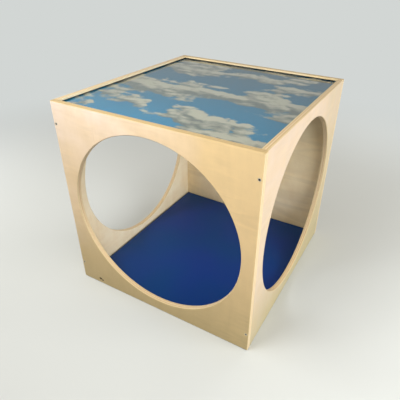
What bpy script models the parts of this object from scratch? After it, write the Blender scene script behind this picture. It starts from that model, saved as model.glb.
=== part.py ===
"""Playhouse cube for small children.

Four square birch plywood panels make the walls. The front and back lap the ends of the
two side panels and are screwed and dowelled to them. The front and both sides have a
large round opening to crawl through, and the back is solid. A clear acrylic sheet with a
printed sky under it sits in a groove just below the top edges. A foam mat lies inside.

Metres, +Z up. The origin is on the floor at the middle of the cube. The front faces -Y.
"""

import math

import bmesh
import bpy
from mathutils import Matrix

# The plywood walls
CUBE_WIDTH = 0.724       # along X, over the two side panels
SIDE_DEPTH = 0.724       # along Y, length of a side panel between front and back
CUBE_HEIGHT = 0.724
PLY = 0.019              # thickness of every panel
RING = 0.0445            # least wood left between an opening and the panel's edge
EDGE_R = 0.003           # roundover of outer edges and of the openings' rims
ARRIS = 0.001            # sanded arris of the inner edges

# The groove and the two sheets of the sky
LIP = 0.0065             # wood left above the groove
GROOVE_DEPTH = 0.008
ACRYLIC = 0.003          # clear sheet
PRINT = 0.001            # printed sheet
SHEET_PLAY = 0.004       # free height over the sheets, seen as a dark line under the lip
SHEET_END_PLAY = 0.001   # from a sheet's edge to the groove's bottom
SHEET_ARRIS = 0.00025

# Connecting screws, through the front and back into the ends of the sides
SCREW_FROM_END = 0.075   # from the top and the bottom of the cube to a screw
SCREW_LENGTH = 0.050
SCREW_HEAD_R = 0.005
SCREW_HEAD_LAND = 0.0008 # upright edge of the head, above its cone
SCREW_HEAD_CONE = 0.0022
SCREW_SHOULDER_R = 0.0035
SCREW_THREAD_R = 0.0032
SCREW_TIP = 0.004
SCREW_SUNK = 0.0004      # head below the panel's face
SOCKET_FLATS = 0.004     # hexagon socket, across its flats
SOCKET_DEPTH = 0.0025

# Beech dowels between the screws
DOWEL_R = 0.004
DOWEL_LENGTH = 0.035
DOWEL_IN_FACE = 0.011    # how far a dowel reaches into the front or back panel
DOWEL_SPACING = 0.240    # between the two dowels of one corner
DOWEL_CHAMFER = 0.001

# Foam mat in a vinyl cover
MAT_HEIGHT = 0.025       # at the crown
MAT_SEAM = 0.009         # height of the seam round its edge
MAT_GAP = 0.0008         # to the walls, at the mat's corners
MAT_DRAW_IN = 0.0025     # how far each side pulls in between its corners
MAT_CROWN = 0.0025       # fall of the top from its middle to near the edge

FIT = 0.0003             # gap between faces that touch
BORE_EXTRA = 0.002       # free depth past the end of a screw or dowel
OVERCUT = 0.004          # how far a cutter stands out of the wood

OPENING_SEGMENTS = 96
BORE_SEGMENTS = 20
ROUND_SEGMENTS = 4       # per roundover
MAT_CELLS = 16           # per side of the mat
MAT_SQUARENESS = 40      # the higher, the steeper the mat's sides
SMOOTH_ANGLE = math.radians(35)
MERGE = 1e-6             # points nearer than this are one

# Places that follow from the sizes above
INNER_WIDTH = CUBE_WIDTH - 2 * PLY
INNER_DEPTH = SIDE_DEPTH + 2 * FIT
GROOVE_HEIGHT = PRINT + ACRYLIC + 2 * FIT + SHEET_PLAY
GROOVE_TOP = CUBE_HEIGHT - LIP
GROOVE_BOTTOM = GROOVE_TOP - GROOVE_HEIGHT
JOINT_X = CUBE_WIDTH / 2 - PLY / 2
SCREW_HEIGHTS = (SCREW_FROM_END, CUBE_HEIGHT - SCREW_FROM_END)
DOWEL_HEIGHTS = (CUBE_HEIGHT / 2 - DOWEL_SPACING / 2, CUBE_HEIGHT / 2 + DOWEL_SPACING / 2)


def clear_scene():
    for obj in list(bpy.data.objects):
        bpy.data.objects.remove(obj, do_unlink=True)


def material(name, color, roughness, alpha=1.0):
    mat = bpy.data.materials.new(name)
    mat.use_nodes = True
    shader = mat.node_tree.nodes["Principled BSDF"]
    shader.inputs["Base Color"].default_value = (*color, 1.0)
    shader.inputs["Roughness"].default_value = roughness
    shader.inputs["Metallic"].default_value = 0.0
    shader.inputs["Alpha"].default_value = alpha
    return mat


def metal(name, color, roughness):
    mat = material(name, color, roughness)
    mat.node_tree.nodes["Principled BSDF"].inputs["Metallic"].default_value = 1.0
    return mat


def add_object(name, bm, mat=None, smooth=False):
    """Turn a bmesh into a named object; without a material it is a hidden cutter."""
    mesh = bpy.data.meshes.new(name)
    bm.to_mesh(mesh)
    bm.free()
    if smooth:
        mesh.shade_smooth()
        mesh.set_sharp_from_angle(angle=SMOOTH_ANGLE)
    obj = bpy.data.objects.new(name, mesh)
    bpy.context.scene.collection.objects.link(obj)
    if mat:
        mesh.materials.append(mat)
    else:
        obj.hide_render = True
        obj.display_type = "WIRE"
    return obj


def box(bm, low, high):
    """Add a box between two corners and return its vertices."""
    size = [h - l for l, h in zip(low, high)]
    middle = [(l + h) / 2 for l, h in zip(low, high)]
    place = Matrix.Translation(middle) @ Matrix.Diagonal((*size, 1.0))
    return bmesh.ops.create_cube(bm, size=1.0, matrix=place)["verts"]


def turn(bm, profile, segments, place=Matrix.Identity(4)):
    """Turn a profile of (radius, y) points about the Y axis, then put it in place."""
    before = set(bm.verts)
    verts = [bm.verts.new((radius, y, 0.0)) for radius, y in profile]
    edges = [bm.edges.new(pair) for pair in zip(verts, verts[1:])]
    bmesh.ops.spin(bm, geom=verts + edges, cent=(0, 0, 0), axis=(0, 1, 0),
                   angle=2 * math.pi, steps=segments, use_merge=True)
    turned = [v for v in bm.verts if v not in before]
    bmesh.ops.remove_doubles(bm, verts=turned, dist=MERGE)
    turned = [v for v in bm.verts if v not in before]
    bmesh.ops.transform(bm, matrix=place, verts=turned)
    bmesh.ops.recalc_face_normals(bm, faces=bm.faces)


def quarter(radius, y, start, end):
    """Points of a roundover's quarter circle of radius EDGE_R about (radius, y)."""
    steps = [start + (end - start) * i / ROUND_SEGMENTS for i in range(ROUND_SEGMENTS + 1)]
    return [(radius + EDGE_R * math.cos(a), y + EDGE_R * math.sin(a)) for a in steps]


def opening_cutter(name, radius):
    """A disc through the panel whose ends flare, so that both rims come out rounded."""
    flare = radius + EDGE_R
    half = math.pi / 2
    profile = [(0, -PLY - OVERCUT), (flare, -PLY - OVERCUT)]
    profile += quarter(flare, -PLY + EDGE_R, -half, -2 * half)
    profile += quarter(flare, -EDGE_R, 2 * half, half)
    profile += [(flare, OVERCUT), (0, OVERCUT)]
    bm = bmesh.new()
    turn(bm, profile, OPENING_SEGMENTS, Matrix.Translation((0, 0, CUBE_HEIGHT / 2)))
    return add_object(name, bm)


def cut(obj, cutter):
    """Take a cutter away from a panel; it follows the panel."""
    cutter.parent = obj
    modifier = obj.modifiers.new(cutter.name, "BOOLEAN")
    modifier.operation = "DIFFERENCE"
    modifier.solver = "EXACT"
    modifier.object = cutter


def panel(name, width, laps, mat):
    """A plywood square that stands on z=0 with its inner face on y=0, outside at -Y.

    A panel that laps its neighbours shows its upright edges, so these are rounded too.
    """
    bm = bmesh.new()
    box(bm, (-width / 2, -PLY, 0), (width / 2, 0, CUBE_HEIGHT))
    weight = bm.edges.layers.float.new("bevel_weight_edge")
    for edge in bm.edges:
        start, end = (vert.co for vert in edge.verts)
        outside = start.y < 0 and end.y < 0
        if abs(start.x - end.x) > PLY:
            edge[weight] = 1.0 if outside else ARRIS / EDGE_R
        elif laps and (outside or abs(start.y - end.y) > PLY / 2):
            edge[weight] = 1.0
    obj = add_object(name, bm, mat)
    rounding = obj.modifiers.new("edges", "BEVEL")
    rounding.limit_method = "WEIGHT"
    rounding.width = EDGE_R
    rounding.segments = ROUND_SEGMENTS
    return obj


def groove_cutter(name, length):
    bm = bmesh.new()
    box(bm, (-length / 2, -GROOVE_DEPTH, GROOVE_BOTTOM), (length / 2, OVERCUT, GROOVE_TOP))
    return add_object(name, bm)


def screw_profile(clearance=0.0):
    """The screw from the middle of its head to its tip, along +Y from the outer face."""
    y = SCREW_SUNK
    land = y + SCREW_HEAD_LAND
    cone = land + SCREW_HEAD_CONE
    joint = PLY
    end = y + SCREW_LENGTH
    head = SCREW_HEAD_R + clearance
    return [(head, y), (head, land), (SCREW_SHOULDER_R + clearance, cone),
            (SCREW_SHOULDER_R + clearance, joint), (SCREW_THREAD_R + clearance, joint),
            (SCREW_THREAD_R + clearance, end - SCREW_TIP + clearance), (0, end + clearance)]


def lap_bores(name):
    """Countersunk screw holes and dowel holes of a lapping panel, from its outer face."""
    bm = bmesh.new()
    for x in (-JOINT_X, JOINT_X):
        for z in SCREW_HEIGHTS:
            head, land, cone = screw_profile(FIT)[:3]
            profile = [(0, -OVERCUT), (head[0], -OVERCUT), land, cone,
                       (cone[0], PLY + OVERCUT), (0, PLY + OVERCUT)]
            turn(bm, profile, BORE_SEGMENTS, Matrix.Translation((x, -PLY, z)))
        for z in DOWEL_HEIGHTS:
            radius = DOWEL_R + FIT
            profile = [(0, -DOWEL_IN_FACE - FIT), (radius, -DOWEL_IN_FACE - FIT),
                       (radius, OVERCUT), (0, OVERCUT)]
            turn(bm, profile, BORE_SEGMENTS, Matrix.Translation((x, 0, z)))
    return add_object(name, bm)


def end_bores(name):
    """Screw and dowel holes in both upright ends of a side panel, along its width."""
    bm = bmesh.new()
    screw_depth = SCREW_SUNK + SCREW_LENGTH - PLY - FIT + BORE_EXTRA
    dowel_depth = DOWEL_LENGTH - DOWEL_IN_FACE - FIT + BORE_EXTRA
    for sign in (-1, 1):
        inward = Matrix.Rotation(sign * math.pi / 2, 4, "Z")
        bores = [(z, SCREW_THREAD_R + FIT, screw_depth) for z in SCREW_HEIGHTS]
        bores += [(z, DOWEL_R + FIT, dowel_depth) for z in DOWEL_HEIGHTS]
        for z, radius, depth in bores:
            profile = [(0, -OVERCUT), (radius, -OVERCUT), (radius, depth), (0, depth)]
            end = Matrix.Translation((sign * SIDE_DEPTH / 2, -PLY / 2, z))
            turn(bm, profile, BORE_SEGMENTS, end @ inward)
    return add_object(name, bm)


def lap_panel(name, opening, turned, mat):
    """The front or the back: as wide as the cube, with stopped grooves and screw holes."""
    obj = panel(name, CUBE_WIDTH, True, mat)
    cut(obj, groove_cutter(name + "_groove", INNER_WIDTH + 2 * GROOVE_DEPTH))
    cut(obj, lap_bores(name + "_bores"))
    if opening:
        radius = min(CUBE_WIDTH, CUBE_HEIGHT) / 2 - RING
        cut(obj, opening_cutter(name + "_opening", radius))
    obj.rotation_euler.z = turned
    obj.location.y = -INNER_DEPTH / 2 * math.cos(turned)
    return obj


def side_panel(name, turned, mat):
    """A side: it stands between front and back, and its groove runs out at both ends."""
    obj = panel(name, SIDE_DEPTH, False, mat)
    cut(obj, groove_cutter(name + "_groove", SIDE_DEPTH + 2 * OVERCUT))
    cut(obj, end_bores(name + "_bores"))
    radius = min(SIDE_DEPTH, CUBE_HEIGHT) / 2 - RING
    cut(obj, opening_cutter(name + "_opening", radius))
    obj.rotation_euler.z = turned
    obj.location.x = INNER_WIDTH / 2 * math.sin(turned)
    return obj


def sheet(name, bottom, thickness, mat):
    """A flat sheet whose four edges lie in the grooves."""
    reach = 2 * (GROOVE_DEPTH - SHEET_END_PLAY)
    half_x = (INNER_WIDTH + reach) / 2
    half_y = (INNER_DEPTH + reach) / 2
    bm = bmesh.new()
    box(bm, (-half_x, -half_y, 0), (half_x, half_y, thickness))
    bmesh.ops.bevel(bm, geom=bm.edges[:], offset=SHEET_ARRIS, segments=1, profile=0.5,
                    affect="EDGES", material=-1)
    obj = add_object(name, bm, mat)
    obj.location.z = bottom
    return obj


def screw_mesh(mat):
    """Countersunk head with a hexagon socket, smooth shoulder, thread and tip."""
    bm = bmesh.new()
    turn(bm, screw_profile(), BORE_SEGMENTS)
    rim = [e for e in bm.edges if e.is_boundary]
    socket = bmesh.ops.create_circle(bm, cap_ends=False, segments=6,
                                     radius=SOCKET_FLATS / math.sqrt(3),
                                     matrix=Matrix.Translation((0, SCREW_SUNK, 0))
                                     @ Matrix.Rotation(math.pi / 2, 4, "X"))["verts"]
    mouth = list({e for v in socket for e in v.link_edges})
    bmesh.ops.bridge_loops(bm, edges=rim + mouth)
    walls = bmesh.ops.extrude_edge_only(bm, edges=mouth)["geom"]
    floor_verts = [v for v in walls if isinstance(v, bmesh.types.BMVert)]
    bmesh.ops.translate(bm, vec=(0, SOCKET_DEPTH, 0), verts=floor_verts)
    bmesh.ops.contextual_create(bm, geom=[e for e in bm.edges if e.is_boundary])
    bmesh.ops.recalc_face_normals(bm, faces=bm.faces)
    template = add_object("screw_template", bm, mat, smooth=True)
    mesh = template.data
    bpy.data.objects.remove(template)
    return mesh


def dowel_mesh(mat):
    """Beech pin along +Y with chamfered ends."""
    bm = bmesh.new()
    end = DOWEL_R - DOWEL_CHAMFER
    turn(bm, [(0, 0), (end, 0), (DOWEL_R, DOWEL_CHAMFER),
              (DOWEL_R, DOWEL_LENGTH - DOWEL_CHAMFER), (end, DOWEL_LENGTH), (0, DOWEL_LENGTH)],
         BORE_SEGMENTS)
    template = add_object("dowel_template", bm, mat, smooth=True)
    mesh = template.data
    bpy.data.objects.remove(template)
    return mesh


def place_copies(name, mesh, wall, heights, y):
    """One object at each upright corner joint of a lapping panel, at each height."""
    number = 0
    for x in (-JOINT_X, JOINT_X):
        for z in heights:
            number += 1
            obj = bpy.data.objects.new(f"{name}_{number}", mesh)
            bpy.context.scene.collection.objects.link(obj)
            obj.parent = wall
            obj.location = (x, y, z)


def floor_mat(mat):
    """Foam mat: crowned top, flat underside, sides drawn in between the four corners."""
    half_x = INNER_WIDTH / 2 - MAT_GAP
    half_y = INNER_DEPTH / 2 - MAT_GAP
    bm = bmesh.new()
    for top in (True, False):
        made = bmesh.ops.create_grid(bm, x_segments=MAT_CELLS, y_segments=MAT_CELLS, size=1.0)
        for vert in made["verts"]:
            u = math.sin(vert.co.x * math.pi / 2)
            v = math.sin(vert.co.y * math.pi / 2)
            vert.co.x = u * (half_x - MAT_DRAW_IN * (1 - v * v))
            vert.co.y = v * (half_y - MAT_DRAW_IN * (1 - u * u))
            fall = MAT_CROWN * (1 - (1 - u * u) * (1 - v * v))
            rise = MAT_HEIGHT - fall - MAT_SEAM if top else -MAT_SEAM
            inside = max(0.0, (1 - abs(u) ** MAT_SQUARENESS) * (1 - abs(v) ** MAT_SQUARENESS))
            vert.co.z = MAT_SEAM + rise * math.sqrt(inside)
    bmesh.ops.remove_doubles(bm, verts=bm.verts, dist=MERGE)
    bmesh.ops.recalc_face_normals(bm, faces=bm.faces)
    return add_object("floor_mat", bm, mat, smooth=True)


clear_scene()
birch = material("birch_plywood", (0.80, 0.64, 0.43), 0.45)
acrylic = material("clear_acrylic", (0.85, 0.90, 0.92), 0.08, alpha=0.35)
print_film = material("printed_sheet", (0.16, 0.33, 0.43), 0.5)
steel = metal("dark_steel", (0.10, 0.09, 0.08), 0.4)
beech = material("beech", (0.62, 0.42, 0.24), 0.6)
vinyl = material("blue_vinyl", (0.012, 0.04, 0.19), 0.4)

walls = {"front": lap_panel("front_panel", True, 0.0, birch),
         "back": lap_panel("back_panel", False, math.pi, birch)}
side_panel("right_panel", math.pi / 2, birch)
side_panel("left_panel", -math.pi / 2, birch)

sheet("sky_print", GROOVE_BOTTOM + FIT, PRINT, print_film)
sheet("sky_acrylic", GROOVE_BOTTOM + 2 * FIT + PRINT, ACRYLIC, acrylic)

screw = screw_mesh(steel)
dowel = dowel_mesh(beech)
for side, wall in walls.items():
    place_copies(side + "_screw", screw, wall, SCREW_HEIGHTS, -PLY)
    place_copies(side + "_dowel", dowel, wall, DOWEL_HEIGHTS, -DOWEL_IN_FACE)

floor_mat(vinyl)
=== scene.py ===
"""Finish of the playhouse cube: birch plywood, a printed sky under clear acrylic, a vinyl mat.

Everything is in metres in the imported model's frame. The sections follow the order in
which the cube is put together, and the stage, the lamps and the camera come last.
"""

import math

import bmesh
import bpy
from mathutils import Matrix, Vector, bvhtree, noise


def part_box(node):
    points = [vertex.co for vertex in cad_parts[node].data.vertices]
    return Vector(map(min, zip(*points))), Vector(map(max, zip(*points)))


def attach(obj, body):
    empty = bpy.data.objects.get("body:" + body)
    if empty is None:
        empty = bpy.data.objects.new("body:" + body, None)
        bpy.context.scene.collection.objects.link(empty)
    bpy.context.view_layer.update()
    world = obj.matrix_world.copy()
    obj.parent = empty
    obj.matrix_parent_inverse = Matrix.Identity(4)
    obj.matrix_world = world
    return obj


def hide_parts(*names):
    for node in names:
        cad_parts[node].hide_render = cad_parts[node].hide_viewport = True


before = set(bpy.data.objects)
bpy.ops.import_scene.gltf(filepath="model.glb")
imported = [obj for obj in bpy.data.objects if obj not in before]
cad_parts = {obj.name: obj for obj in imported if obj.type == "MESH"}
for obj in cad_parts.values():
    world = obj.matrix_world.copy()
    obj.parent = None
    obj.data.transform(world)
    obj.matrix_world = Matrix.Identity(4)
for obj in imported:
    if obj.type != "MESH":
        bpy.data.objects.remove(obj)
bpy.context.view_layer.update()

# Walls. Four squares of veneer-core birch plywood, 19 mm thick: a 0.7 mm rotary-cut birch
# face on each side and five core plies whose grain crosses. The openings and the grooves are
# routed, the outer edges are rounded and sanded, and a clear satin lacquer goes over it all.

PLY = 0.019
VENEER = 0.0007
CORE_PLIES = 5
GLUE_LINE = 0.00028          # a real one is under 0.1 mm and wouldn't show
GLUE_SHARE = 0.45            # how far a glue line darkens the edge
GROOVE = (0.7088, 0.7176)    # from its bottom to its top
GROOVE_DEPTH = 0.009
GROOVE_SHADE_LIP = 0.0004          # the groove's painted shade starts this far behind the inner face
TOP_EDGE_SHADE = (0.7190, 0.7225)   # the top edges are painted darker between these heights, as shade
EDGE_SHADE_SHARE = 0.35             # how far that painted shade reaches beyond the plies
FLOOR_SHADE_REACH = 0.35             # height up to which a wall is painted darker towards the floor, as shade with the floor's bounce
DRIFT = (2.6, 0.4)           # scale of the slow change of tone, and the span of noise it takes
BLOTCH = 16.0                # scale of the faint stains
PATCH = 5.0                  # scale of the places that have ripples
RINGS_PER_NOISE = 24.0       # a whole step of the noise gives this many radians of rings
RING_SHADE = (0.010, 0.040)  # on an upright and on a level grain
CURL_SHADE = (0.05, 0.02)
FIBRES = (70.0, 2600.0, 70.0)    # per metre, in the edge of each ply
GRAIN = {                    # width, length, place, detail, roughness and bend of each pattern
    "rings": (0.075, 0.42, 1.3, 2.0, 0.5, 0.5),        # growth rings of a peeled veneer
    "streaks": (0.006, 0.30, 5.1, 3.0, 0.65, 0.0),     # fine lines along the grain
    "curl": (0.120, 0.022, 9.7, 1.0, 0.5, 1.2),        # ripples across it, which catch the light
    "pores": (0.0016, 0.018, 2.9, 1.0, 0.5, 0.0),      # drawn coarser than the real 0.1 mm
    "veins": (0.006, 0.22, 7.3, 1.0, 0.5, 0.4),        # brown mineral streaks
}
SHARP = math.radians(35)     # faces that meet at more than this keep a crisp edge
FLAT = 0.001                 # and those at less than this, in radians, become one
MERGE = 1e-6


def colour(code):
    """Turn an sRGB hex colour into the linear values that Blender works with."""
    channels = [int(code[i:i + 2], 16) / 255 for i in (0, 2, 4)]
    return [c / 12.92 if c <= 0.04045 else ((c + 0.055) / 1.055) ** 2.4 for c in channels] + [1.0]


def node(tree, kind, inputs=None, **settings):
    """Add a shader node with its settings. An input takes a value, a socket, or a node's result."""
    made = tree.nodes.new("ShaderNode" + kind)
    for name, value in settings.items():
        setattr(made, name, value)
    for name, value in (inputs or {}).items():
        if isinstance(value, bpy.types.Node):
            value = next(out for out in value.outputs if out.enabled)
        if isinstance(value, bpy.types.NodeSocket):
            tree.links.new(value, made.inputs[name])
        else:
            made.inputs[name].default_value = value
    return made


def new_material(name):
    """A material with an empty tree, which starts at a Texture Coordinate node."""
    mat = bpy.data.materials.new(name)
    mat.use_nodes = True
    mat.node_tree.nodes.clear()
    return mat, mat.node_tree, node(mat.node_tree, "TexCoord")


def add_piece(name, bm):
    """Turn a finished bmesh into a piece of its own in the scene."""
    mesh = bpy.data.meshes.new(name)
    bm.to_mesh(mesh)
    bm.free()
    piece = bpy.data.objects.new(name, mesh)
    bpy.context.scene.collection.objects.link(piece)
    return piece


def smooth_copy(cad, name):
    """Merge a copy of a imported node's loose triangles and shade its round edges smooth."""
    bm = bmesh.new()
    bm.from_mesh(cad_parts[cad].data)
    bmesh.ops.remove_doubles(bm, verts=bm.verts, dist=MERGE)
    bmesh.ops.dissolve_limit(bm, angle_limit=FLAT, verts=bm.verts, edges=bm.edges)
    piece = add_piece(name, bm)
    piece.data.attributes.remove(piece.data.attributes["custom_normal"])
    piece.data.shade_smooth()
    piece.data.set_sharp_from_angle(angle=SHARP)
    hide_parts(cad)
    return piece


front_y, back_y = -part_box("front_panel")[0].y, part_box("back_panel")[1].y
side_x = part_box("right_panel")[1].x


def plywood(name, turned, outside, seed, pale, warm, tilt=(0, 0, 0.3), level=False,
            low=(0.0, "000000"), top_shade_weight=1.0):
    """Birch plywood for one wall, on coordinates with x along it and y in from its outer face.

    The veneer gives a cream ground with ring figure, ripples, streaks and pores along the
    grain. Its tone drifts from pale to warm: tilt holds how fast across and up the wall, and
    from which level; this slope is painted light, paler where the lamps fall strongest. low
    holds how far it darkens towards the floor, and to which tone, as painted shade that carries
    the light bounced up from the floor. Where an edge cuts through, pale and tan plies alternate,
    and along the top edges they and the veneer are painted darker, as shade against the light
    from above, each wall by its own weight.
    """
    mat, tree, place = new_material(name)
    local = node(tree, "Mapping", {"Vector": place.outputs["Object"], "Location": (0, outside, 0),
                                   "Rotation": (0, 0, -turned)})
    across, depth, height = node(tree, "SeparateXYZ", {"Vector": local}).outputs
    if level:
        along = node(tree, "CombineXYZ", {"X": height, "Z": across})
    else:
        along = node(tree, "CombineXYZ", {"X": across, "Z": height})
    grain = {}
    for kind, (width, length, start, detail, roughness, bend) in GRAIN.items():
        at = node(tree, "Mapping", {"Vector": along, "Location": (start + seed, 0, start + 3 * seed),
                                    "Scale": (1 / width, 1, 1 / length)})
        grain[kind] = node(tree, "TexNoise", {"Vector": at, "Scale": 1.0, "Detail": detail,
                                              "Roughness": roughness, "Distortion": bend})

    drift = node(tree, "TexNoise", {"Vector": local, "Scale": DRIFT[0], "Detail": 2})
    # The slope from tilt is painted light: the tone is paler where the lamps fall strongest and warmer
    # away from them.
    light_slope = node(tree, "VectorMath", {0: local, 1: (tilt[0], 0, tilt[1])}, operation="DOT_PRODUCT")
    drift = node(tree, "Math", {0: drift, 1: light_slope.outputs["Value"]}, operation="ADD")
    drift = node(tree, "MapRange", {"Value": drift, "From Min": tilt[2],
                                    "From Max": tilt[2] + DRIFT[1]})
    blotch = node(tree, "TexNoise", {"Vector": local, "Scale": BLOTCH, "Detail": 4, "Roughness": 0.6})
    stain = node(tree, "MapRange", {"Value": blotch, "From Min": 0.35, "From Max": 0.75, "To Max": 0.4})
    veins = node(tree, "MapRange", {"Value": grain["veins"], "From Min": 0.70, "From Max": 0.80,
                                    "To Max": 0.14})
    veneer = node(tree, "Mix", {0: drift, 6: colour(pale), 7: colour(warm)}, data_type="RGBA")
    veneer = node(tree, "Mix", {0: stain, 6: veneer, 7: colour("E5C898")}, data_type="RGBA")
    veneer = node(tree, "Mix", {0: veins, 6: veneer, 7: colour("B98A58")}, data_type="RGBA")
    # Painted shade: the wall darkens towards the floor, in a tone that carries the greenish light
    # bounced up from the floor.
    floor_shade = node(tree, "MapRange", {"Value": height, "From Max": FLOOR_SHADE_REACH,
                                        "To Min": low[0], "To Max": 0.0})
    veneer = node(tree, "Mix", {0: floor_shade, 6: veneer, 7: colour(low[1])}, data_type="RGBA")

    rings = node(tree, "Math", {0: grain["rings"], 1: RINGS_PER_NOISE}, operation="MULTIPLY")
    rings = node(tree, "Math", {0: rings}, operation="SINE")
    rings = node(tree, "Math", {0: rings, 1: -RING_SHADE[level], 2: 1.0}, operation="MULTIPLY_ADD")
    lines = node(tree, "MapRange", {"Value": grain["streaks"], "From Min": 0.3, "From Max": 0.7,
                                    "To Min": 0.992, "To Max": 1.006})
    patch = node(tree, "TexNoise", {"Vector": local, "Scale": PATCH, "Detail": 1})
    patch = node(tree, "MapRange", {"Value": patch, "From Min": 0.40, "From Max": 0.66})
    curl = node(tree, "MapRange", {"Value": grain["curl"], "From Min": 0.3, "From Max": 0.7,
                                   "To Min": -CURL_SHADE[level], "To Max": CURL_SHADE[level]})
    curl = node(tree, "Math", {0: curl, 1: patch, 2: 1.0}, operation="MULTIPLY_ADD")
    pores = node(tree, "MapRange", {"Value": grain["pores"], "From Min": 0.62, "From Max": 0.80,
                                    "To Min": 1.0, "To Max": 0.95})
    for shade in (rings, lines, curl, pores):
        veneer = node(tree, "VectorMath", {0: veneer, "Scale": shade}, operation="SCALE")

    core = PLY - 2 * VENEER
    count = node(tree, "Math", {0: depth, 1: VENEER}, operation="SUBTRACT")
    count = node(tree, "Math", {0: count, 1: CORE_PLIES / core}, operation="MULTIPLY")
    number = node(tree, "Math", {0: count}, operation="FLOOR")
    crossed = node(tree, "Math", {0: number, 1: 2.0}, operation="FLOORED_MODULO")
    facing = node(tree, "SeparateXYZ", {"Vector": place.outputs["Normal"]})
    upright = node(tree, "Math", {0: facing.outputs["Z"]}, operation="ABSOLUTE")
    sideways = node(tree, "Math", {0: 1.0, 1: upright}, operation="SUBTRACT")
    end_grain = node(tree, "Mix", {0: crossed, 2: sideways, 3: upright})
    fibres = node(tree, "VectorMath", {0: local, 1: FIBRES}, operation="MULTIPLY")
    fibres = node(tree, "TexNoise", {"Vector": fibres, "Scale": 1.0, "Detail": 2})
    fibres = node(tree, "MapRange", {"Value": fibres, "From Min": 0.3, "From Max": 0.7,
                                     "To Min": 0.90, "To Max": 1.08})
    # Painted shade: the top edges are darker, against the light from above, each wall by its own weight.
    top_shade = node(tree, "MapRange", {"Value": height, "From Min": TOP_EDGE_SHADE[0],
                                      "From Max": TOP_EDGE_SHADE[1], "To Max": top_shade_weight})
    plain_ply = node(tree, "Mix", {0: end_grain, 6: colour("F4DEB6"), 7: colour("DDBC8C")},
                 data_type="RGBA")
    shaded_ply = node(tree, "Mix", {0: end_grain, 6: colour("CCB486"), 7: colour("B09258")},
                    data_type="RGBA")
    ply = node(tree, "Mix", {0: top_shade, 6: plain_ply, 7: shaded_ply}, data_type="RGBA")
    off_middle = node(tree, "Math", {0: number, 1: (CORE_PLIES - 1) / 2}, operation="SUBTRACT")
    off_middle = node(tree, "Math", {0: off_middle}, operation="ABSOLUTE")
    outermost = node(tree, "Math", {0: off_middle, 1: (CORE_PLIES - 2) / 2}, operation="GREATER_THAN")
    rim = node(tree, "Mix", {0: top_shade, 6: colour("E8D2A4"), 7: colour("C6AC7C")}, data_type="RGBA")
    ply = node(tree, "Mix", {0: outermost, 6: ply, 7: rim}, data_type="RGBA")
    ply = node(tree, "VectorMath", {0: ply, "Scale": fibres}, operation="SCALE")
    joint = node(tree, "Math", {0: count}, operation="ROUND")
    joint = node(tree, "Math", {0: count, 1: joint}, operation="SUBTRACT")
    joint = node(tree, "Math", {0: joint}, operation="ABSOLUTE")
    glue = node(tree, "Math", {0: joint, 1: GLUE_LINE * CORE_PLIES / core}, operation="LESS_THAN")
    glue = node(tree, "Math", {0: glue, 1: GLUE_SHARE}, operation="MULTIPLY")
    ply = node(tree, "Mix", {0: glue, 6: ply, 7: colour("8A6034")}, data_type="RGBA")

    inside = node(tree, "Math", {0: depth, 1: PLY / 2}, operation="SUBTRACT")
    inside = node(tree, "Math", {0: inside}, operation="ABSOLUTE")
    inside = node(tree, "Math", {0: inside, 1: core / 2}, operation="LESS_THAN")
    wood = node(tree, "Mix", {0: inside, 6: veneer, 7: ply}, data_type="RGBA")
    # The painted shade of the top edges reaches over the veneer as well.
    edge = node(tree, "Math", {0: top_shade, 1: EDGE_SHADE_SHARE}, operation="MULTIPLY")
    wood = node(tree, "Mix", {0: edge, 6: wood, 7: colour("CAAE7A")}, data_type="RGBA")

    # Painted shade: inside the groove, round the sheets, the wood is coloured near black.
    groove_shade = node(tree, "Math", {0: height, 1: (GROOVE[0] + GROOVE[1]) / 2}, operation="SUBTRACT")
    groove_shade = node(tree, "Math", {0: groove_shade}, operation="ABSOLUTE")
    groove_shade = node(tree, "Math", {0: groove_shade, 1: (GROOVE[1] - GROOVE[0]) / 2}, operation="LESS_THAN")
    ends = node(tree, "Math", {0: across}, operation="ABSOLUTE")
    ends = node(tree, "Math", {0: ends, 1: side_x - PLY / 2}, operation="LESS_THAN")
    bottom = node(tree, "Math", {0: depth, 1: PLY - GROOVE_DEPTH}, operation="GREATER_THAN")
    mouth = node(tree, "Math", {0: depth, 1: PLY - GROOVE_SHADE_LIP}, operation="LESS_THAN")
    for limit in (ends, bottom, mouth):
        groove_shade = node(tree, "Math", {0: groove_shade, 1: limit}, operation="MULTIPLY")
    wood = node(tree, "Mix", {0: groove_shade, 6: wood, 7: colour("1C1511")}, data_type="RGBA")

    rough = node(tree, "MapRange", {"Value": blotch, "From Min": 0.3, "From Max": 0.7,
                                    "To Min": 0.36, "To Max": 0.50})
    relief = node(tree, "Math", {0: grain["streaks"], 1: grain["pores"]}, operation="SUBTRACT")
    bump = node(tree, "Bump", {"Height": relief, "Strength": 0.08, "Distance": 0.0004})
    lacquered = node(tree, "BsdfPrincipled", {"Base Color": wood, "Roughness": rough, "Normal": bump,
                                              "Coat Weight": 0.12, "Coat Roughness": 0.28})
    node(tree, "OutputMaterial", {"Surface": lacquered})
    return mat


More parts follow.
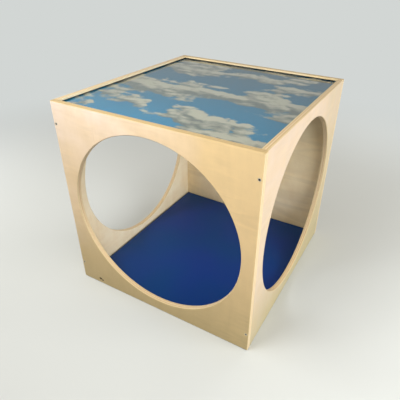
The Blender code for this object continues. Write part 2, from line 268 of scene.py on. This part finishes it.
# The walls are one birch, but their tones are set apart as painted light: the right wall's are darker to
# offset its strong lamp, and the left wall's paler to light its inner face.
WALLS = {
    "front": plywood("birch_plywood_front", 0.0, front_y, 0.0, "FFEAD8", "F5D6A0",
                     (0.8, -1.0, -0.42), low=(0.45, "9C925A")),
    "back": plywood("birch_plywood_back", math.pi, back_y, 1.7, "FDEFCE", "FBE2AC", level=True,
                    low=(0.1, "9A7048"), top_shade_weight=0.8),
    "right": plywood("birch_plywood_right", math.pi / 2, side_x, 4.3, "DCC6AE", "CDBC93",
                     (0.5, -0.6, 0.06), low=(0.40, "9A9864"), top_shade_weight=0.35),
    "left": plywood("birch_plywood_left", -math.pi / 2, side_x, 7.9, "FFF6DC", "FAE6BA", top_shade_weight=0.2),
}
for side, birch in WALLS.items():
    wall = smooth_copy(side + "_panel", side + "_wall")
    wall.data.materials.append(birch)
    flat = wall.modifiers.new("flat_faces", "WEIGHTED_NORMAL")
    flat.keep_sharp = True
    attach(wall, "cube")

# Chips. Two knocks have broken the veneer away low on the front, down to torn wood that is
# coloured a near-black brown. Each is cut out of the wall as a ragged hollow.

CHIPS = ((-0.2765, 0.0212, 0.0130), (-0.2665, 0.0170, 0.0095))    # across, height and length
CHIP_DEPTH = 0.0012
CHIP_SQUASH = 0.7            # height over length
RAGGED = (0.5, 0.25, 2.3)    # middle and swing of a hollow's radius, and its lumps
SPLINTERS = 900.0            # per metre, so that a splinter is about 1 mm

torn, tree, place = new_material("torn_dark_birch")
splinters = node(tree, "TexNoise", {"Vector": place.outputs["Object"], "Scale": SPLINTERS,
                                    "Detail": 2})
brown = node(tree, "Mix", {0: splinters, 6: colour("2A1B10"), 7: colour("0F0906")}, data_type="RGBA")
matt = node(tree, "BsdfPrincipled", {"Base Color": brown, "Roughness": 0.9, "Specular IOR Level": 0.1})
node(tree, "OutputMaterial", {"Surface": matt})


def settle(piece):
    """Make a piece's modifiers part of its mesh."""
    done = bpy.data.meshes.new_from_object(piece.evaluated_get(bpy.context.evaluated_depsgraph_get()))
    piece.modifiers.clear()
    piece.data = done


bm = bmesh.new()
for across, height, length in CHIPS:
    seed = Vector((across, 0, height)) * 900    # so that no two chips are alike
    for v in bmesh.ops.create_icosphere(bm, subdivisions=3, radius=1.0)["verts"]:
        ragged = v.co * (RAGGED[0] + RAGGED[1] * noise.noise(v.co * RAGGED[2] + seed))
        v.co = (across + ragged.x * length, -front_y + 2 * ragged.y * CHIP_DEPTH,
                height + CHIP_SQUASH * ragged.z * length)
knocks = add_piece("knocks", bm)
knocks.data.materials.append(torn)
wall = bpy.data.objects["front_wall"]
chipped = wall.modifiers.new("chipped", "BOOLEAN")
chipped.object = knocks
chipped.solver = "EXACT"
chipped.material_mode = "TRANSFER"
wall.modifiers.move(1, 0)    # the chips come before the flat faces are weighted
settle(wall)
bpy.data.objects.remove(knocks)

# Dowels. Eight beech pins, 8 mm thick, are glued into the corner joints between the screws.
# They can't be seen once the cube is together.

RAYS = (900, 60, 900)        # per metre, fine across a pin and long along it

beech, tree, place = new_material("turned_beech")
rays = node(tree, "Mapping", {"Vector": place.outputs["Object"], "Scale": RAYS})
rays = node(tree, "TexNoise", {"Vector": rays, "Scale": 1.0, "Detail": 2})
wood = node(tree, "Mix", {0: rays, 6: colour("D9B68A"), 7: colour("B98B5C")}, data_type="RGBA")
turned = node(tree, "BsdfPrincipled", {"Base Color": wood, "Roughness": 0.65})
node(tree, "OutputMaterial", {"Surface": turned})
for name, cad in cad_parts.items():
    if "dowel" in name:
        cad.material_slots[0].material = beech

# Connecting screws. Countersunk steel screws with a hexagon socket hold the front and back to
# the ends of the sides. Their nickel plating has dulled, and the head is painted dark round the socket
# as shade.

SCREW_ACROSS = 0.3525        # from the cube's middle to a screw, sideways
SCREW_MIDDLE = 0.362         # the height of that middle
SCREW_UP = 0.287             # and up or down from there
SOCKET_SHADE = (0.0026, 0.0036)    # the painted socket shade is full to the first radius and gone at the second
WEAR = 700.0                 # per metre, so that a worn speck is about 1.4 mm

nickel, tree, place = new_material("nickel_plated_steel")
wear = node(tree, "TexNoise", {"Vector": place.outputs["Object"], "Scale": WEAR, "Detail": 3})
tint = node(tree, "Mix", {0: wear, 6: colour("F6EEE0"), 7: colour("E2D8C8")}, data_type="RGBA")
mirrored = node(tree, "VectorMath", {0: place.outputs["Object"], 1: (0, 0, -SCREW_MIDDLE)},
                operation="ADD")
mirrored = node(tree, "VectorMath", {0: mirrored}, operation="ABSOLUTE")
from_axis = node(tree, "Mapping", {"Vector": mirrored, "Location": (-SCREW_ACROSS, 0, -SCREW_UP),
                                   "Scale": (1, 0, 1)})
from_axis = node(tree, "VectorMath", {0: from_axis}, operation="LENGTH").outputs["Value"]
# Painted shade: the head darkens towards its socket.
socket_shade = node(tree, "MapRange", {"Value": from_axis, "From Min": SOCKET_SHADE[0], "From Max": SOCKET_SHADE[1],
                                "To Min": 0.9, "To Max": 0.0})
tint = node(tree, "Mix", {0: socket_shade, 6: tint, 7: colour("3E342A")}, data_type="RGBA")
rough = node(tree, "MapRange", {"Value": wear, "To Min": 0.42, "To Max": 0.6})
plated = node(tree, "BsdfPrincipled", {"Base Color": tint, "Roughness": rough, "Metallic": 1.0})
node(tree, "OutputMaterial", {"Surface": plated})
for name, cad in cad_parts.items():
    if "screw" in name:
        cad.material_slots[0].material = nickel

# Printed sky. A matt sheet printed with a blue sky and heaped clouds, which lies in the
# groove under the acrylic. Its picture is a design of its own.

BANK = (0.30, 0.15)          # length and height of a cloud bank
PUFF = 0.050                 # one heap of a cloud's outline
PUFF_SQUASH = 0.7            # its height over its length
PUFF_SHARE = 0.08            # how far the heaps shape the bank
CLOUD_EDGE = (0.398, 0.452)  # from clear blue to full cloud
WIND = (9.0, 0.040)          # scale of the ripples in a cloud's edge, and how far they reach
LIGHT_STEP = 0.018           # the cloud is read twice, this far apart, to find its lit side
RELIEF = 0.06                # a step of this much is fully lit or fully shaded
SKY_END = 0.37               # from the middle to the front, where the blue is palest

sky, tree, place = new_material("printed_sky_sheet")
film = place.outputs["Object"]
wind = node(tree, "TexNoise", {"Vector": film, "Scale": WIND[0], "Detail": 3}, noise_dimensions="2D")
wind = node(tree, "VectorMath", {0: wind.outputs["Color"], 1: (0.5, 0.5, 0.5)}, operation="SUBTRACT")
wind = node(tree, "VectorMath", {0: wind, "Scale": WIND[1]}, operation="SCALE")
heaps = []
for step in (0.0, LIGHT_STEP):
    at = node(tree, "VectorMath", {0: film, 1: wind}, operation="ADD")
    at = node(tree, "VectorMath", {0: at, 1: (step / 2, step, 0.0)}, operation="ADD")
    bank = node(tree, "Mapping", {"Vector": at, "Location": (3.1, 1.7, 0),
                                  "Scale": (1 / BANK[0], 1 / BANK[1], 1)})
    bank = node(tree, "TexNoise", {"Vector": bank, "Scale": 1.0, "Detail": 7, "Roughness": 0.52},
                noise_dimensions="2D")
    puff = node(tree, "Mapping", {"Vector": at, "Scale": (PUFF_SQUASH / PUFF, 1 / PUFF, 1)})
    puff = node(tree, "TexVoronoi", {"Vector": puff, "Scale": 1.0, "Detail": 4, "Roughness": 0.6,
                                     "Smoothness": 0.3}, voronoi_dimensions="2D", feature="SMOOTH_F1")
    heaps.append(node(tree, "Math", {0: puff, 1: -PUFF_SHARE, 2: bank}, operation="MULTIPLY_ADD"))
cover = node(tree, "MapRange", {"Value": heaps[0], "From Min": CLOUD_EDGE[0],
                                "From Max": CLOUD_EDGE[1]}, interpolation_type="SMOOTHSTEP")
lit = node(tree, "Math", {0: heaps[0], 1: heaps[1]}, operation="SUBTRACT")
lit = node(tree, "MapRange", {"Value": lit, "From Min": -RELIEF, "From Max": RELIEF})
cloud = node(tree, "Mix", {0: lit, 6: colour("63655F"), 7: colour("A79D8C")}, data_type="RGBA")
back = node(tree, "SeparateXYZ", {"Vector": film}).outputs["Y"]
deep = node(tree, "MapRange", {"Value": back, "From Min": -SKY_END, "From Max": SKY_END})
blue = node(tree, "Mix", {0: deep, 6: colour("287190"), 7: colour("10465A")}, data_type="RGBA")
printed = node(tree, "Mix", {0: cover, 6: blue, 7: cloud}, data_type="RGBA")
matt = node(tree, "BsdfPrincipled", {"Base Color": printed, "Roughness": 0.6, "Specular IOR Level": 0.1})
node(tree, "OutputMaterial", {"Surface": matt})
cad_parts["sky_print"].material_slots[0].material = sky

# Clear cover. A polished acrylic sheet, 3 mm thick, lies flat on the print, so only its top face
# mirrors the room. The open part of the groove above it shows as a dark line under the lip, in
# real shade and in the near black that the wood inside the groove is painted as shade.

UNDERSIDE = 0.001            # what lies this near the sheet's bottom lets light straight through

clear, tree, place = new_material("polished_acrylic")
path = node(tree, "LightPath")
polished = node(tree, "BsdfPrincipled", {"Base Color": colour("F4F8F8"), "Transmission Weight": 1.0,
                                         "Roughness": 0.02, "IOR": 1.49})
passed = node(tree, "BsdfTransparent", {"Color": colour("F4F8F8")})
height = node(tree, "SeparateXYZ", {"Vector": place.outputs["Object"]}).outputs["Z"]
base = node(tree, "Math", {0: height, 1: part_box("sky_acrylic")[0].z + UNDERSIDE},
            operation="LESS_THAN")
base = node(tree, "Math", {0: base, 1: path.outputs["Is Shadow Ray"]}, operation="MAXIMUM")
both = node(tree, "MixShader", {0: base, 1: polished, 2: passed})
node(tree, "OutputMaterial", {"Surface": both})
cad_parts["sky_acrylic"].material_slots[0].material = clear

# Floor mat. A foam slab in a royal blue vinyl cover, which lies loose between the walls. Its
# top and base are sewn together low on the sides, where the cover is drawn in a little. The
# vinyl's embossed grain breaks its gloss into a soft sheen.

TOP = 0.0200                 # height at the edge of the top, before the foam swells
CROWN = 0.0025               # rise from there to the middle
CELL = 0.012                 # of the mesh
CORNER = 0.009
SHOULDER = 0.0045
BASE = 0.0030
DRAW_IN = 0.0020             # how far each side pulls in between its corners
SWELL = 0.0022               # the most that the foam pushes the cover out
SETTLE = 0.0008              # height of the broad, soft waves in its top
WAVE = 0.17                  # and their length
PRESSURE = 4.0
FRAMES = 20
SEAM_HEIGHT = 0.009
SEAM_PULL = 0.0010
SEAM_WIDTH = 0.0015
SIDE_ROWS = (0.006, 0.009, 0.012)   # heights of the mesh's rows round the sides
PUCKER = (0.0004, 0.0028, 0.013)    # depth, width and spacing of the gathers at the seam
CLEAR = 0.0006               # the least gap to the sides of the mat's space
PEBBLES = 420.0              # per metre, 2.4 mm each; a real one is finer and wouldn't show
MOTTLE = 4.0                 # scale of the broad changes in the blue

vinyl, tree, place = new_material("embossed_vinyl")
leather = node(tree, "TexNoise", {"Vector": place.outputs["Object"], "Scale": PEBBLES, "Detail": 2})
broad = node(tree, "TexNoise", {"Vector": place.outputs["Object"], "Scale": MOTTLE, "Detail": 1})
broad = node(tree, "MapRange", {"Value": broad, "From Min": 0.35, "From Max": 0.65})
tint = node(tree, "Mix", {0: broad, 6: colour("073C79"), 7: colour("113780")}, data_type="RGBA")
rough = node(tree, "MapRange", {"Value": leather, "To Min": 0.40, "To Max": 0.56})
bump = node(tree, "Bump", {"Height": leather, "Strength": 0.2, "Distance": 0.0003})
coated = node(tree, "BsdfPrincipled", {"Base Color": tint, "Roughness": rough, "Normal": bump,
                                       "Specular IOR Level": 0.25})
node(tree, "OutputMaterial", {"Surface": coated})


def cut(bm, point, direction):
    """Add edges all round a bmesh where a plane crosses it."""
    bmesh.ops.bisect_plane(bm, geom=bm.verts[:] + bm.edges[:] + bm.faces[:], dist=MERGE,
                           plane_co=point, plane_no=direction)


def put_in_order(bm):
    """Sort the faces by their corners, since a bevel or a sphere leaves them in any order."""
    bm.verts.index_update()
    for rank, face in enumerate(sorted(bm.faces, key=lambda f: sorted(v.index for v in f.verts))):
        face.index = rank
    bm.faces.sort()


low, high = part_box("floor_mat")
half_x, half_y = ((high - low) / 2).xy
bm = bmesh.new()
slab = Matrix.LocRotScale((0, 0, TOP / 2), None, (2 * half_x, 2 * half_y, TOP))
bmesh.ops.create_cube(bm, size=1.0, matrix=slab)
upright = [e for e in bm.edges if abs(e.verts[0].co.z - e.verts[1].co.z) > TOP / 2]
bmesh.ops.bevel(bm, geom=upright, affect="EDGES", offset=CORNER, segments=5, profile=0.5, material=-1)
for level, radius in ((TOP, SHOULDER), (0, BASE)):
    rim = [e for e in bm.edges if all(abs(v.co.z - level) < MERGE for v in e.verts)]
    bmesh.ops.bevel(bm, geom=rim, affect="EDGES", offset=radius, segments=4, profile=0.5, material=-1)
for height in SIDE_ROWS:
    cut(bm, (0, 0, height), (0, 0, 1))
for axis, half in ((Vector((1, 0, 0)), half_x), (Vector((0, 1, 0)), half_y)):
    for i in range(-int(half / CELL), int(half / CELL) + 1):
        cut(bm, axis * i * CELL, axis)
for v in bm.verts:
    u, w = v.co.x / half_x, v.co.y / half_y
    v.co.x -= u * (SWELL + DRAW_IN * (1 - w * w))
    v.co.y -= w * (SWELL + DRAW_IN * (1 - u * u))
    v.co.z += v.co.z / TOP * CROWN * max(0, (1 - u * u) * (1 - w * w))
put_in_order(bm)             # so that the cloth gives the same shape on each run
cover = add_piece("vinyl_mat", bm)
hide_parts("floor_mat")

flat = [v.co.copy() for v in cover.data.vertices]
foam = cover.modifiers.new("foam", "CLOTH")
foam.settings.use_pressure = True
foam.settings.uniform_pressure_force = PRESSURE
foam.settings.effector_weights.gravity = 0.0
foam.point_cache.frame_end = FRAMES
for moment in range(1, FRAMES + 1):
    bpy.context.scene.frame_set(moment)
settle(cover)
for v, start in zip(cover.data.vertices, flat):
    pushed = v.co - start
    if pushed.length > 0:
        v.co = start + pushed.normalized() * SWELL * math.tanh(pushed.length / SWELL)
rounded = cover.modifiers.new("rounded", "SUBSURF")
rounded.levels = rounded.render_levels = 1
settle(cover)

bm = bmesh.new()
bm.from_mesh(cover.data)
for offset in (-2, -1, 0, 1, 2):
    cut(bm, (0, 0, SEAM_HEIGHT + offset * SEAM_WIDTH / 2), (0, 0, 1))
bm.normal_update()
for v in bm.verts:
    rise = (v.co.z - SEAM_HEIGHT) / SEAM_WIDTH
    side = v.normal.copy()
    side.z = 0
    travel = v.co.x if abs(side.y) > abs(side.x) else v.co.y
    gather = PUCKER[0] * math.cos(travel * math.tau / PUCKER[2])
    gather *= math.exp(-((v.co.z - SEAM_HEIGHT) / PUCKER[1]) ** 2)
    v.co -= side * (SEAM_PULL * math.exp(-rise * rise) + gather)
    v.co.z += SETTLE * noise.noise(v.co / WAVE) * max(0, v.normal.z)
    v.co.x = min(max(v.co.x, low.x + CLEAR), high.x - CLEAR)
    v.co.y = min(max(v.co.y, low.y + CLEAR), high.y - CLEAR)
    v.co.z = min(max(v.co.z, low.z), high.z)
surface = bvhtree.BVHTree.FromBMesh(bm)
bm.to_mesh(cover.data)
bm.free()
cover.data.shade_smooth()
cover.data.materials.append(vinyl)
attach(cover, "mat")

# Mat stitching. Lock stitches in blue polyester thread close the seam round the mat's sides.
# Each one lies where a line from outside meets the cover, and sinks halfway into it.

STITCH = (0.0019, 0.00038, 0.0050)  # half length, half width and spacing
STITCH_END = 0.012           # the last one is this far from a corner
PROBE = (0.01, 0.03)         # where that line starts outside the mat, and its length
TWIST = 1500.0               # per metre, so that a turn of the thread is 0.7 mm

thread, tree, place = new_material("polyester_thread")
twist = node(tree, "TexNoise", {"Vector": place.outputs["Object"], "Scale": TWIST})
tint = node(tree, "Mix", {0: twist, 6: colour("0E2F6B"), 7: colour("1B4A94")}, data_type="RGBA")
spun = node(tree, "BsdfPrincipled", {"Base Color": tint, "Roughness": 0.6})
node(tree, "OutputMaterial", {"Surface": spun})
bm = bmesh.new()
bmesh.ops.create_uvsphere(bm, u_segments=6, v_segments=4, radius=1.0)
put_in_order(bm)
stitch = bpy.data.meshes.new("one_stitch")
bm.to_mesh(stitch)
bm.clear()
for side in range(4):
    turn = Matrix.Rotation(side * math.pi / 2, 4, "Z")
    reach = half_x if side % 2 == 0 else half_y
    length = half_y if side % 2 == 0 else half_x
    count = int((length - STITCH_END) / STITCH[2])
    for i in range(-count, count + 1):
        outside = turn @ Vector((reach + PROBE[0], i * STITCH[2], SEAM_HEIGHT))
        hit = surface.ray_cast(outside, turn @ Vector((-1, 0, 0)), PROBE[1])[0]
        if hit is None:
            continue
        spot = Matrix.Translation(hit) @ turn @ Matrix.Diagonal((STITCH[1], STITCH[0], STITCH[1], 1))
        stitch.transform(spot)
        bm.from_mesh(stitch)
        stitch.transform(spot.inverted())
bpy.data.meshes.remove(stitch)
stitching = add_piece("mat_stitching", bm)
stitching.data.shade_smooth()
stitching.data.materials.append(thread)
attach(stitching, "mat")

# Stage. A pale floor that keeps the object's shadow and fades into a backdrop of its colour,
# under broad soft lamps, one overhead and one towards each side.

BACKDROP = "D2D6D4"
FLOOR_RADIUS = 30.0
FLOOR_FADE = (0.9, 2.6)      # the floor turns into the backdrop between these distances
AIR = 0.36                   # strength of the light that comes from all round


def in_view(tree):
    """1 where something is seen, also in gloss or through the acrylic, and 0 for its light."""
    path = node(tree, "LightPath")
    seen = node(tree, "Math", {0: path.outputs["Is Camera Ray"], 1: path.outputs["Is Glossy Ray"]},
                operation="MAXIMUM")
    return node(tree, "Math", {0: seen, 1: path.outputs["Is Transmission Ray"]}, operation="MAXIMUM")


floor_paint, tree, place = new_material("pale_studio_floor")
seen = in_view(tree)
paint = node(tree, "Mix", {0: seen, 6: colour("3C4244"), 7: colour(BACKDROP)}, data_type="RGBA")
painted = node(tree, "BsdfPrincipled", {"Base Color": paint, "Roughness": 0.9})
reach = node(tree, "VectorMath", {0: place.outputs["Object"]}, operation="LENGTH").outputs["Value"]
far = node(tree, "MapRange", {"Value": reach, "From Min": FLOOR_FADE[0], "From Max": FLOOR_FADE[1]},
           interpolation_type="SMOOTHSTEP")
far = node(tree, "Math", {0: far, 1: seen}, operation="MULTIPLY")
glow = node(tree, "Emission", {"Color": colour(BACKDROP), "Strength": 1.0})
both = node(tree, "MixShader", {0: far, 1: painted, 2: glow})
node(tree, "OutputMaterial", {"Surface": both})
bm = bmesh.new()
bmesh.ops.create_circle(bm, cap_ends=True, segments=64, radius=FLOOR_RADIUS)
ground = add_piece("floor", bm)
ground.data.materials.append(floor_paint)

world = bpy.data.worlds.new("studio")
bpy.context.scene.world = world
world.use_nodes = True
tree = world.node_tree
tree.nodes.clear()
seen = in_view(tree)
strength = node(tree, "MapRange", {"Value": seen, "To Min": AIR, "To Max": 1.0})
light = node(tree, "Mix", {0: seen, 6: colour("FFF3E2"), 7: colour(BACKDROP)}, data_type="RGBA")
air = node(tree, "Background", {"Color": light, "Strength": strength})
node(tree, "OutputWorld", {"Surface": air})

AIM = Vector((0, 0, 0.45))   # the point that all lamps face
LAMPS = {                    # place, size and power
    "ceiling": ((-0.2, -0.9, 1.5), 0.6, 12.6),
    "front": ((1.8, -1.3, 0.7), 1.0, 15.5),
    "right": ((2.0, -0.1, 0.75), 1.2, 26.0),
    "left": ((-2.2, -0.6, 1.0), 1.2, 27.0),
    "back": ((0.6, 2.3, 1.2), 1.4, 14.5),
}
for name, (where, size, power) in LAMPS.items():
    lamp = bpy.data.lights.new(name, "AREA")
    lamp.size = size
    lamp.energy = power
    holder = bpy.data.objects.new(name, lamp)
    bpy.context.scene.collection.objects.link(holder)
    holder.visible_glossy = False    # no square of light shows in the acrylic
    holder.location = where
    holder.rotation_euler = (AIM - Vector(where)).to_track_quat("-Z", "Y").to_euler()

# Camera. It stands where the photograph was taken from, with a slight turn and a small shift.

camera_data = bpy.data.cameras.new("camera")
camera = bpy.data.objects.new("camera", camera_data)
bpy.context.scene.collection.objects.link(camera)
camera.location = (0.6649, -1.1822, 1.1262)
camera.rotation_euler = [math.radians(a) for a in (57.998, -1.162, 28.953)]
camera_data.lens = 35.613
camera_data.sensor_width = 36.0
camera_data.shift_x = -0.0426
camera_data.shift_y = -0.0045
bpy.context.scene.camera = camera
bpy.context.scene.view_settings.view_transform = "Standard"
